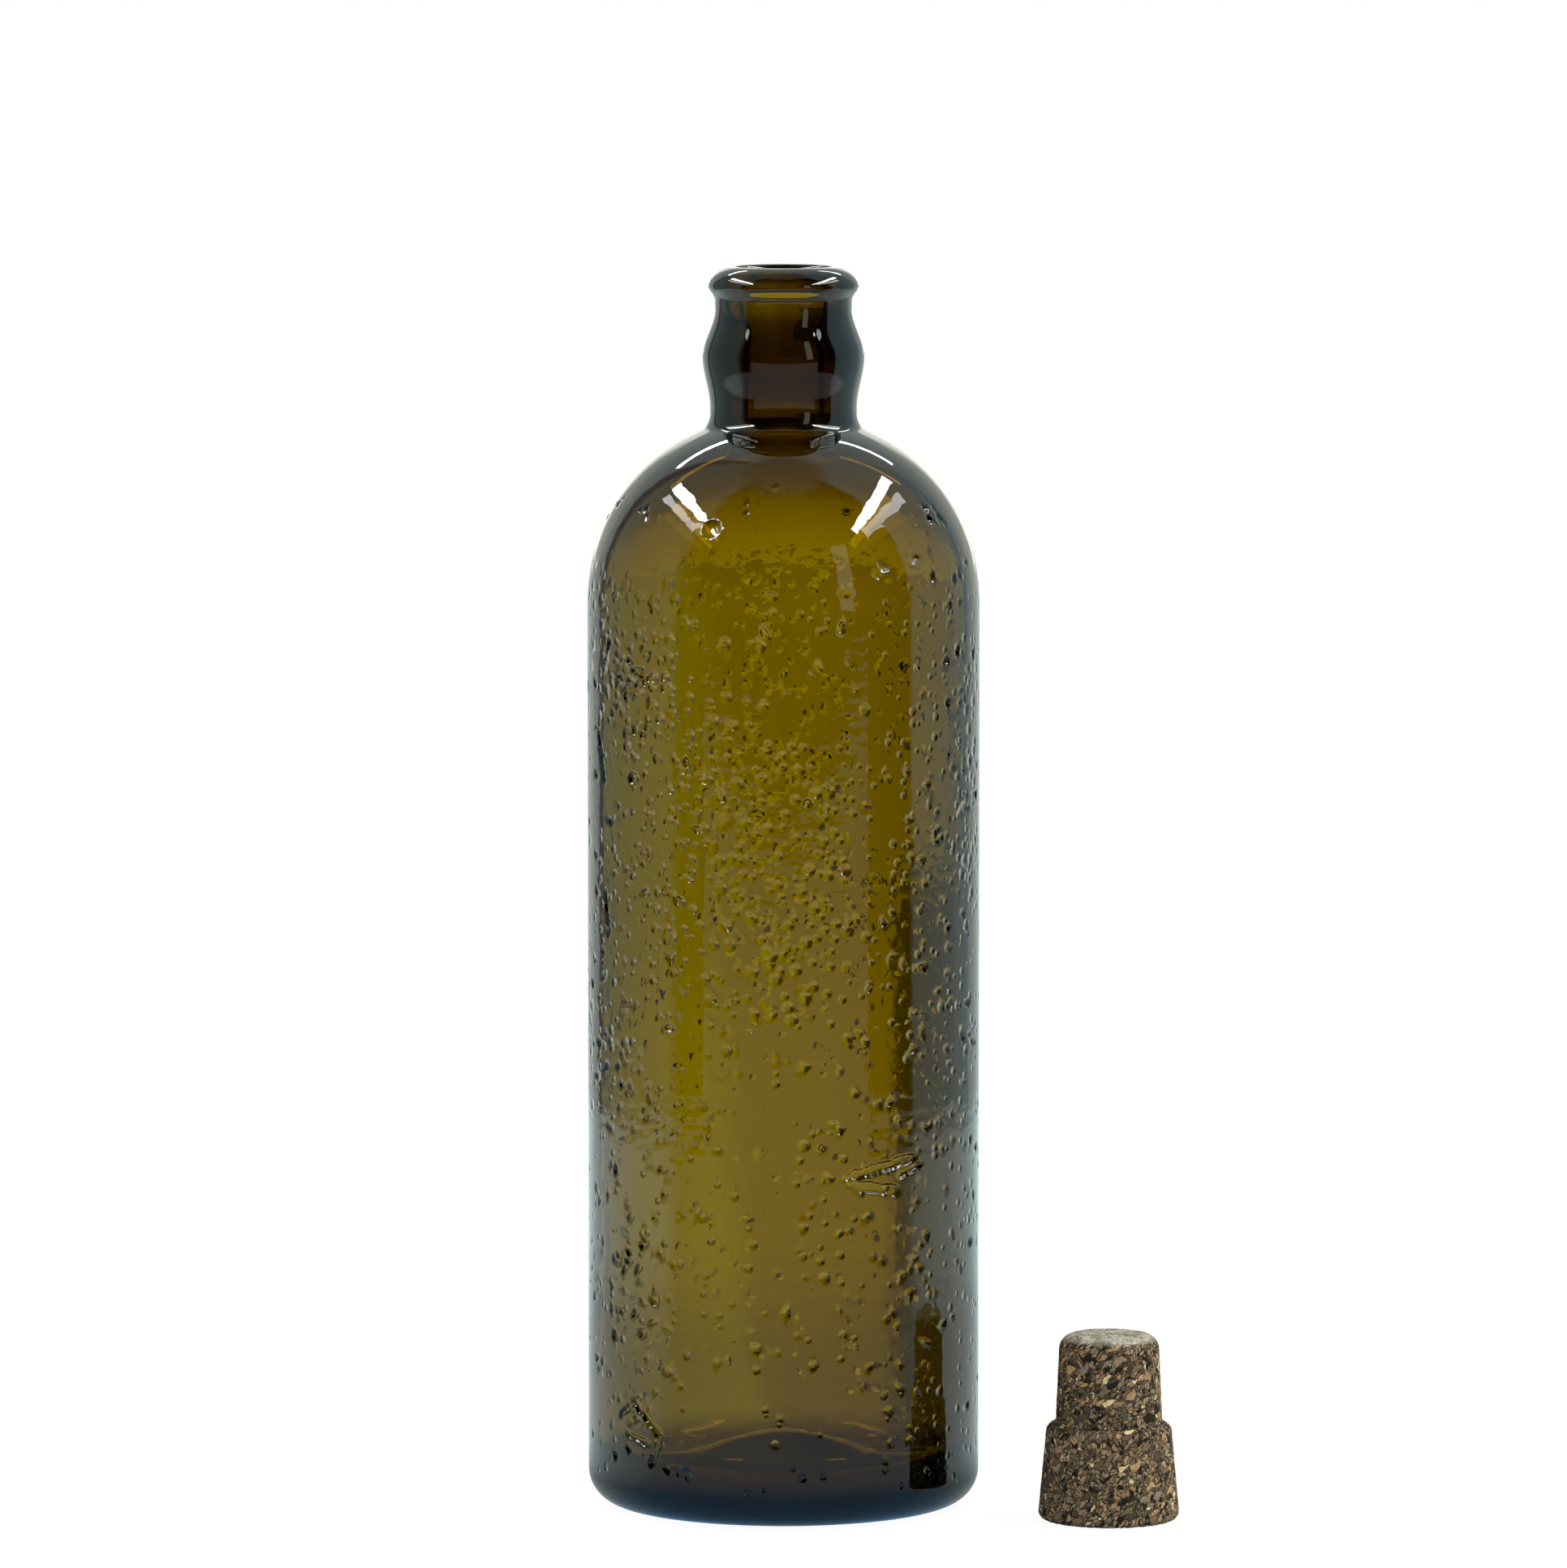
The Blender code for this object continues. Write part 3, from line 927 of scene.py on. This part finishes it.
def outward(turn, height):
    """The outside's normal there."""
    change = outer_radius(height + SLOPE_STEP) - outer_radius(height - SLOPE_STEP)
    slope = change / (2 * SLOPE_STEP)
    normal = np.array((sin(turn), -cos(turn), -slope))
    return normal / np.linalg.norm(normal)


def outer_places(places):
    """Which places lie on the outside of the body or the shoulder."""
    radii = np.hypot(places[:, 0] - AXIS_X, places[:, 1])
    heights = places[:, 2]
    on_skin = radii > outer_radii(heights) - OUTSIDE_DEPTH
    return (heights > HEEL_RADIUS) & (heights < OUTSIDE_TOP) & on_skin


def outer_radii(heights):
    """The outside's radius at many heights."""
    share = np.clip((heights - SHOULDER_HEIGHT) / SHOULDER_RISE, 0.0, 0.9999)
    return BODY_RADIUS * (1 - share ** SHOULDER_POWER) ** (1 / SHOULDER_POWER)


def near_hollows(places, margin, least=0.0):
    """Which places lie within a margin of a hollow at least so large."""
    near = np.zeros(len(places), dtype=bool)
    for hollow in hollows:
        if hollow["radius"] >= least:
            centre = on_glass(hollow["turn"], hollow["height"])
            reach = hollow["radius"] * max(hollow["stretch"], 1.0) + margin
            band = np.abs(places[:, 2] - centre[2]) < reach
            gaps = places[band] - centre
            near[np.flatnonzero(band)[(gaps ** 2).sum(axis=1) < reach ** 2]] = True
    return near


# %% Subdivide near them
ROUNDS = ((0.85 * MM, 0.0), (0.25 * MM, 0.0), (-0.05 * MM, 0.85 * MM))


def refine(piece, margin, least):
    """Cut the faces near the hollows in four, and set the new vertices on the true curve."""
    centres = face_centres(piece)
    chosen = near_hollows(centres, margin, least) & outer_places(centres)
    mesh = piece.data
    mesh.vertices.foreach_set("select", np.zeros(len(mesh.vertices), dtype=bool))
    mesh.edges.foreach_set("select", np.zeros(len(mesh.edges), dtype=bool))
    mesh.polygons.foreach_set("select", chosen)
    bpy.context.tool_settings.mesh_select_mode = (False, False, True)
    edit(piece)
    bpy.ops.mesh.subdivide(number_cuts=1, ngon=False)
    bpy.ops.object.mode_set(mode="OBJECT")
    places = points_of(piece)
    outside = outer_places(places)
    offsets = places[outside, :2] - (AXIS_X, 0.0)
    offsets *= (outer_radii(places[outside, 2]) / np.hypot(*offsets.T))[:, None]
    places[outside, :2] = offsets + (AXIS_X, 0.0)
    mesh.vertices.foreach_set("co", places.ravel())
    mesh.update()


for margin, least in ROUNDS:
    refine(bottle, margin, least)
    print("refined to", len(bottle.data.polygons), "faces")

# %% [markdown]
# ## Pressing the hollows in
# Each hollow is a shallow bowl with a wavy rim and, round a blister, a raised ring. Its depth is
# written as a vertex weight, and one Displace modifier presses them all in along the normals. A
# second one lifts the rings. Weights keep the overlap of two hollows simple: the deeper one wins.

# %% Depths as weights
DEEPEST = 0.60 * MM
RING_HEIGHT = 0.30 * MM
BOWL_POWER = 2.2
RIM_WAVES = ((2, 0.16), (3, 0.10))
RING_MIDDLE = 1.12
RING_WIDTH = 0.16
RIM_REACH = 0.6
LEAST_WEIGHT = 0.001


def press_weights(places, outside):
    """Two arrays of 0 to 1: how far each vertex is pressed in, and how far it is lifted."""
    pressed = np.zeros(len(places))
    lifted = np.zeros(len(places))
    up = np.array((0.0, 0.0, 1.0))
    for hollow in hollows:
        centre = on_glass(hollow["turn"], hollow["height"])
        reach = hollow["radius"] * (hollow["stretch"] + RIM_REACH)
        close = np.flatnonzero(outside & (np.abs(places[:, 2] - centre[2]) < reach))
        gaps = places[close] - centre
        kept = (gaps ** 2).sum(axis=1) < reach ** 2
        close, gaps = close[kept], gaps[kept]
        normal = outward(hollow["turn"], hollow["height"])
        level = np.cross(up, normal)
        level /= np.linalg.norm(level)
        rising = np.cross(normal, level)
        across, along = gaps @ level, gaps @ rising
        lean, wave = hollow["lean"], hollow["wave"]
        first = (across * cos(lean) + along * sin(lean)) / hollow["stretch"]
        second = along * cos(lean) - across * sin(lean)
        angle = np.arctan2(second, first)
        rim = 1.0
        if not hollow["ring"]:
            for turns, (lobes, height) in enumerate(RIM_WAVES, 1):
                rim = rim + height * np.sin(lobes * angle + wave * turns)
        share = np.hypot(first, second) / (hollow["radius"] * rim)
        bowl = np.clip(1 - share ** BOWL_POWER, 0.0, 1.0) * hollow["depth"] / DEEPEST
        pressed[close] = np.maximum(pressed[close], bowl)
        if hollow["ring"]:
            ring = np.exp(-((share - RING_MIDDLE) / RING_WIDTH) ** 2) * hollow["ring"]
            lifted[close] = np.maximum(lifted[close], ring)
    return np.clip(pressed, 0.0, 1.0), np.clip(lifted, 0.0, 1.0)


def add_weights(piece, name, weights):
    """A vertex group with one weight for each vertex that has any."""
    group = piece.vertex_groups.new(name=name)
    for index in np.flatnonzero(weights > LEAST_WEIGHT):
        group.add([int(index)], float(weights[index]), "REPLACE")


def displace(piece, group, strength):
    """Move a group's vertices along their normals, and keep the result."""
    choose(piece)
    modifier = piece.modifiers.new(group, "DISPLACE")
    modifier.vertex_group = group
    modifier.strength = strength
    modifier.mid_level = 0.0
    modifier.direction = "NORMAL"
    bpy.ops.object.modifier_apply(modifier=modifier.name)


places = points_of(bottle)
pressed, lifted = press_weights(places, outer_places(places))
add_weights(bottle, "hollows", pressed)
add_weights(bottle, "rings", lifted)
displace(bottle, "hollows", -DEEPEST)
displace(bottle, "rings", RING_HEIGHT)
print(int((pressed > LEAST_WEIGHT).sum()), "vertices pressed in")

# %% [markdown]
# ## Glass
# The colour of glass is in its body, not on its face: two walls of 2.9 mm give the yellow-olive of
# the middle, and the thick neck goes nearly black. So the surface is clear, and a volume takes up
# red, green and blue light at the rates that those two walls ask for. The body's skin also has fine
# ripples, wider than tall, and drifts of dents too small and shallow for the mesh. These are bump.
# The neck and lip are smooth.

# %% Glass material
GLASS_DENSITY = 1300.0
GLASS_TINT = (0.7615, 0.703, 0.0, 1.0)
GLASS_IOR = 1.52
GLASS_ROUGHNESS = 0.0
SHELL = (0.88, 0.93)
SKIN_TOP = (0.196, 0.206)
SKIN_BOTTOM = (0.004, 0.010)


def outside_mask(sheet):
    """1 on the outside of the body and the shoulder, and 0 inside, on the neck and underneath."""
    place = sheet.node("ShaderNodeTexCoord", output="Object")
    across, deep, up = place.vector("SUBTRACT", (AXIS_X, 0.0, 0.0)).axes()
    radius = (across * across + deep * deep) ** 0.5
    over = maths("MAXIMUM", up - SHOULDER_HEIGHT, 0.0) / SHOULDER_RISE
    fill = (radius / BODY_RADIUS) ** SHOULDER_POWER + over ** SHOULDER_POWER
    return fill.smooth(*SHELL) * (1 - up.smooth(*SKIN_TOP)) * up.smooth(*SKIN_BOTTOM)


DENT_LAYERS = (
    (4.2 * MM, 0.25, 0.14, 0.62, 0.29 * MM),
    (2.9 * MM, 0.28, 0.12, 0.50, 0.20 * MM),
)
ISLAND_LAYERS = (
    (3.8 * MM, 0.40, 0.03, 0.85, 0.32 * MM),
    (2.6 * MM, 0.40, 0.04, 0.70, 0.20 * MM),
)
DENT_FLAT = 0.30
DENTS_TOP = 180 * MM
DENTS_FADE = 11 * MM
ISLANDS_BOTTOM = 84 * MM
ISLANDS_FADE = 10 * MM
LOW_SHARE = 0.25
FLANK_RANGE = (0.55, 0.80)
RIPPLE_SCALE = (170.0, 170.0, 420.0)
RIPPLE_HEIGHT = 0.030 * MM
HAMMERED_SCALE = (460.0, 460.0, 520.0)
HAMMERED_HEIGHT = 0.019 * MM
DRIFT_NOISE = ((38.0, 38.0, 30.0), (0.40, 0.58))
ISLAND_NOISE = ((24.0, 24.0, 16.0), (0.47, 0.60))
CLUSTER_NOISE = ((56.0, 56.0, 42.0), (0.50, 0.62))


def dimples(sheet, place, drift, spacing, size, least, more, depth):
    """Round dents about so far apart, in metres; the drift decides how many places have one."""
    inputs = {"Vector": place.vector("MULTIPLY", (1 / spacing,) * 3), "Scale": 1.0}
    gap = sheet.node("ShaderNodeTexVoronoi", {"feature": "F1"}, inputs, "Distance")
    chance = Out(sheet.tree, gap.socket.node.outputs["Color"]).axes()[0]
    return (1 - gap.smooth(size * DENT_FLAT, size)) * (chance < drift * more + least) * depth


def noise(sheet, place, scale, detail):
    """A Noise node in a stretched space."""
    inputs = {"Vector": place.vector("MULTIPLY", scale), "Scale": 1.0, "Detail": detail}
    return sheet.node("ShaderNodeTexNoise", {}, inputs)


def patches(sheet, place, scale, step):
    """1 inside soft patches of a Noise pattern, and 0 between them."""
    return noise(sheet, place, scale, 0.0).smooth(*step)


def ripple_height(sheet):
    """Ripples that run round the body, a hammered grain, and drifts of small dents, in metres."""
    place = sheet.node("ShaderNodeTexCoord", output="Object")
    across, deep, up = place.axes()
    ripple = noise(sheet, place, RIPPLE_SCALE, 1.0) * RIPPLE_HEIGHT
    hammered = noise(sheet, place, HAMMERED_SCALE, 1.0) * HAMMERED_HEIGHT
    drift = patches(sheet, place, *DRIFT_NOISE)
    field = patches(sheet, place, *ISLAND_NOISE)
    high = up.smooth(ISLANDS_BOTTOM - ISLANDS_FADE, ISLANDS_BOTTOM + ISLANDS_FADE)
    aside = maths("ABSOLUTE", across - AXIS_X) / BODY_RADIUS
    cluster = patches(sheet, place, *CLUSTER_NOISE)
    share = high * (1 - LOW_SHARE) + LOW_SHARE
    drift = maths("MAXIMUM", drift * share, aside.smooth(*FLANK_RANGE) * cluster)
    dents = 0.0
    for layer in ISLAND_LAYERS:
        dents = dimples(sheet, place, field * high, *layer) + dents
    for layer in DENT_LAYERS:
        dents = dents + dimples(sheet, place, drift, *layer)
    below = 1 - up.smooth(DENTS_TOP - DENTS_FADE, DENTS_TOP + DENTS_FADE)
    return ripple + hammered - dents * below


def make_glass():
    """Clear rippled surface, coloured body."""
    material = bpy.data.materials.new("Olive amber glass")
    sheet, output = new_tree(material, "ShaderNodeOutputMaterial")
    height = ripple_height(sheet) * outside_mask(sheet)
    bump = sheet.node("ShaderNodeBump", {}, {"Height": height, "Distance": 1.0, "Strength": 1.0})
    surface = sheet.node("ShaderNodeBsdfPrincipled", {}, {
        "Base Color": (1.0, 1.0, 1.0, 1.0), "Roughness": GLASS_ROUGHNESS, "IOR": GLASS_IOR,
        "Transmission Weight": 1.0, "Normal": bump})
    body = sheet.node("ShaderNodeVolumeAbsorption", {},
                      {"Color": GLASS_TINT, "Density": GLASS_DENSITY})
    sheet.tree.links.new(surface.socket, output.inputs["Surface"])
    sheet.tree.links.new(body.socket, output.inputs["Volume"])
    return material


def triangles(piece):
    """How many triangles a piece has once its faces are split."""
    return sum(len(face.vertices) - 2 for face in piece.data.polygons)


bottle.data.materials.append(make_glass())
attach(bottle, "root")
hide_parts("bottle")
print("bottle:", triangles(bottle), "triangles")

# %% [markdown]
# ## The stopper
# The stopper is turned from pressed cork granules: a plain shank over a wider, slightly tapered
# head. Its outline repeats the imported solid's.

# %% Outline of the stopper
SHANK_TOP_RADIUS = 9.7 * MM
SHANK_BASE_RADIUS = 10.3 * MM
STEP_RADIUS = 12.2 * MM
HEAD_RADIUS = 13.6 * MM
STEP_HEIGHT = 18.9 * MM
CORK_HEIGHT = 36.1 * MM
TIP_ROUND = 3.1 * MM
STEP_ROUND = 1.9 * MM
STEP_FILLET = 0.6 * MM
BASE_ROUND = 1.6 * MM


def cork_side():
    """The stopper's outline, from the middle of its small end down to the middle of its base."""
    tip = (SHANK_TOP_RADIUS - TIP_ROUND, CORK_HEIGHT - TIP_ROUND)
    step = (STEP_RADIUS - STEP_ROUND, STEP_HEIGHT - STEP_ROUND)
    base = (HEAD_RADIUS - BASE_ROUND, BASE_ROUND)
    nook = (SHANK_BASE_RADIUS + STEP_FILLET, STEP_HEIGHT + STEP_FILLET)
    points = [(0.0, CORK_HEIGHT)]
    points += straight(points[0], (tip[0], CORK_HEIGHT), 16)
    points += arc(tip, TIP_ROUND, 90, 0, 12)
    points += straight(points[-1], (SHANK_BASE_RADIUS, nook[1]), 32)
    points += arc(nook, STEP_FILLET, 180, 270, 4)
    points += arc(step, STEP_ROUND, 90, 0, 8)
    points += straight(points[-1], (HEAD_RADIUS, BASE_ROUND), 36)
    points += arc(base, BASE_ROUND, 0, -90, 7)
    points += straight(points[-1], (0.0, 0.0), 12)
    return points


CORK_STEPS = 264
cork = spun("cork_stopper", cork_side(), (CORK_X, CORK_Y), CORK_STEPS)
print("stopper spun:", len(cork.data.polygons), "faces")

# %% [markdown]
# ## Granules
# Pressed cork is a mass of crumbs one to three millimetres long, tan, brown and grey, with dark
# gaps between them. A Voronoi pattern gives the crumbs, once its space is bent by noise so that no
# edge runs straight. Three families of chips, each laid another way, share the space, with larger
# chips over them. The same function drives the relief in a geometry tree and the colour in the
# material, so each dark gap is also a real groove.

# %% Granule pattern
CHIP_FAMILIES = (
    ((0.3, 0.6, 0.2), (620.0, 1150.0, 1600.0)),
    ((-0.4, -0.8, 1.1), (600.0, 1250.0, 1500.0)),
    ((1.3, 0.2, -0.5), (1150.0, 640.0, 1650.0)),
)
BIG_CHIP_SCALE = (420.0, 520.0, 900.0)
BIG_CHIPS_OVER = 0.80
BIG_CHIP_EDGE = 1.6
BEND = 1.5 * MM
BEND_SCALE = 620.0
PATCH_SCALE = (330.0, 330.0, 330.0)
FAMILY_LEVELS = (0.36, 0.70)


def voronoi(sheet, space, feature, output):
    """A Voronoi node in an already scaled space."""
    inputs = {"Vector": space, "Scale": 1.0}
    return sheet.node("ShaderNodeTexVoronoi", {"feature": feature}, inputs, output)


def chips(sheet, place, turn, scale):
    """One family of chips, all laid one way: a random colour for each, and the way to its edge."""
    laid = sheet.node("ShaderNodeVectorRotate", {"rotation_type": "EULER_XYZ"},
                      {"Vector": place, "Rotation": turn})
    space = laid.vector("MULTIPLY", scale)
    draws = voronoi(sheet, space, "F1", "Color")
    return draws, voronoi(sheet, space, "DISTANCE_TO_EDGE", "Distance")


def crumb_mix(sheet, place):
    """Two random numbers of the chip that shows, and how far the place is from its edge."""
    inputs = {"Vector": place, "Scale": BEND_SCALE, "Detail": 1.5}
    bend = sheet.node("ShaderNodeTexNoise", {}, inputs, 1)
    pushed = bend.vector("SUBTRACT", (0.5, 0.5, 0.5)).vector("MULTIPLY", (BEND,) * 3)
    bent = place.vector("ADD", pushed)
    patch = voronoi(sheet, bent.vector("MULTIPLY", PATCH_SCALE), "F1", "Color")
    family = patch.axes()[0]
    draws, gap = chips(sheet, bent, *CHIP_FAMILIES[0])
    for level, (turn, scale) in zip(FAMILY_LEVELS, CHIP_FAMILIES[1:]):
        others, other_gap = chips(sheet, bent, turn, scale)
        chosen = family > level
        draws = chosen.pick(draws, others)
        gap = chosen * other_gap + (1 - chosen) * gap
    big_draws, big_gap = chips(sheet, bent, CHIP_FAMILIES[0][0], BIG_CHIP_SCALE)
    is_big = big_draws.axes()[1] > BIG_CHIPS_OVER
    draws = is_big.pick(draws, big_draws)
    gap = is_big * big_gap * BIG_CHIP_EDGE + (1 - is_big) * gap
    chance, other = draws.axes()[:2]
    return chance, other, gap


# %% Relief of the granules
GROOVE = 0.13 * MM
GROOVE_EDGE = (0.02, 0.16)
UNEVEN = 0.3
MISSING = 0.12
MISSING_DEPTH = 0.6


def add_crumb_relief(piece):
    """Sink the gaps between crumbs, by a geometry tree with the crumb pattern."""
    tree = bpy.data.node_groups.new("Crumb relief", "GeometryNodeTree")
    tree.interface.new_socket("Geometry", in_out="INPUT", socket_type="NodeSocketGeometry")
    tree.interface.new_socket("Geometry", in_out="OUTPUT", socket_type="NodeSocketGeometry")
    sheet = Out(tree)
    arriving = sheet.node("NodeGroupInput")
    place = sheet.node("GeometryNodeInputPosition")
    normal = sheet.node("GeometryNodeInputNormal")
    chance, other, gap = crumb_mix(sheet, place)
    sunk = (1 - gap.smooth(*GROOVE_EDGE)) + other * UNEVEN + (chance < MISSING) * MISSING_DEPTH
    offset = normal.node("ShaderNodeVectorMath", {"operation": "SCALE"},
                         {0: normal, "Scale": sunk * -GROOVE})
    moved = sheet.node("GeometryNodeSetPosition", {}, {"Geometry": arriving, "Offset": offset})
    leaving = tree.nodes.new("NodeGroupOutput")
    tree.links.new(moved.socket, leaving.inputs[0])
    choose(piece)
    modifier = piece.modifiers.new("Crumbs", "NODES")
    modifier.node_group = tree
    bpy.ops.object.modifier_apply(modifier=modifier.name)


add_crumb_relief(cork)
print("stopper:", triangles(cork), "triangles")

# %% Cork material
CRUMB_COLOURS = (
    (0.00, screen(28, 26, 20)),
    (MISSING, screen(70, 60, 46)),
    (0.24, screen(104, 88, 64)),
    (0.42, screen(134, 112, 82)),
    (0.56, screen(88, 77, 58)),
    (0.68, screen(141, 115, 82)),
    (0.80, screen(116, 108, 88)),
    (0.88, screen(156, 127, 90)),
    (0.970, screen(196, 178, 130)),
)
GAP_COLOUR = screen(36, 33, 24)
# The top's painted sheen: a swirled pale grey that stands in for the bright light the top catches.
TOP_SHEEN_DARK = screen(150, 146, 126)
TOP_SHEEN_PALE = screen(204, 202, 184)
TOP_SHEEN_SHARE = 0.64
TOP_SHEEN_RANGE = (CORK_HEIGHT - 1.6 * MM, CORK_HEIGHT - 0.5 * MM)
SHEEN_SWIRL_SCALE = (380.0, 380.0, 380.0)
GRAIN_SCALE = 2600.0
GRAIN_SHADES = (0.72, 1.18)
EDGE_BUMP = 0.14 * MM
UNEVEN_BUMP = 0.12 * MM
GRAIN_BUMP = 0.05 * MM


def make_cork():
    """Crumbs of several colours, near-black gaps, a painted pale sheen on the top, and a matt face.
    """
    material = bpy.data.materials.new("Pressed cork")
    sheet, output = new_tree(material, "ShaderNodeOutputMaterial")
    place = sheet.node("ShaderNodeTexCoord", output="Object")
    chance, other, gap = crumb_mix(sheet, place)
    ramp = sheet.node("ShaderNodeValToRGB", {"stops": CRUMB_COLOURS}, {"Fac": chance})
    ramp.socket.node.color_ramp.interpolation = "CONSTANT"
    inputs = {"Vector": place, "Scale": GRAIN_SCALE, "Detail": 2.0}
    grain = sheet.node("ShaderNodeTexNoise", {}, inputs)
    shade = grain.smooth(0.3, 0.7).pick(*map(grey, GRAIN_SHADES))
    crumb = ramp.node("ShaderNodeMix", {"data_type": "RGBA", "blend_type": "MULTIPLY"},
                      {0: 1.0, 6: ramp, 7: shade}, 2)
    tint = gap.smooth(0.01, 0.13).pick(GAP_COLOUR, crumb)
    # Painted sheen: the top is mixed towards a swirled pale grey, in place of the light it catches.
    up = place.axes()[2]
    top = up.smooth(*TOP_SHEEN_RANGE)
    sheen_swirl = noise(sheet, place, SHEEN_SWIRL_SCALE, 3.0).smooth(0.36, 0.64)
    tint = (top * TOP_SHEEN_SHARE).pick(tint, sheen_swirl.pick(TOP_SHEEN_DARK, TOP_SHEEN_PALE))
    height = gap.smooth(0.0, 0.14) * EDGE_BUMP + other * UNEVEN_BUMP + grain * GRAIN_BUMP
    bump = sheet.node("ShaderNodeBump", {}, {"Height": height, "Distance": 1.0})
    surface = sheet.node("ShaderNodeBsdfPrincipled", {}, {
        "Base Color": tint, "Roughness": 0.85, "Specular IOR Level": 0.25, "Normal": bump})
    sheet.tree.links.new(surface.socket, output.inputs["Surface"])
    return material


cork.data.materials.append(make_cork())
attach(cork, "root")
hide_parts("cork")

# %% [markdown]
# ## The render's settings
# Light passes four glass faces each way, and more in the thick neck and base, so the bounces for
# transmission are raised. The colours are shown as they are, with no film curve, because the
# photo's ground is pure white.

# %% Settings
scene = bpy.context.scene
scene.view_settings.view_transform = "Standard"
scene.view_settings.look = "None"
scene.cycles.max_bounces = 15
scene.cycles.transmission_bounces = 15
scene.cycles.glossy_bounces = 8
scene.cycles.diffuse_bounces = 4
scene.cycles.caustics_reflective = False
scene.cycles.caustics_refractive = True
scene.cycles.use_denoising = True
scene.cycles.sample_clamp_indirect = 8.0
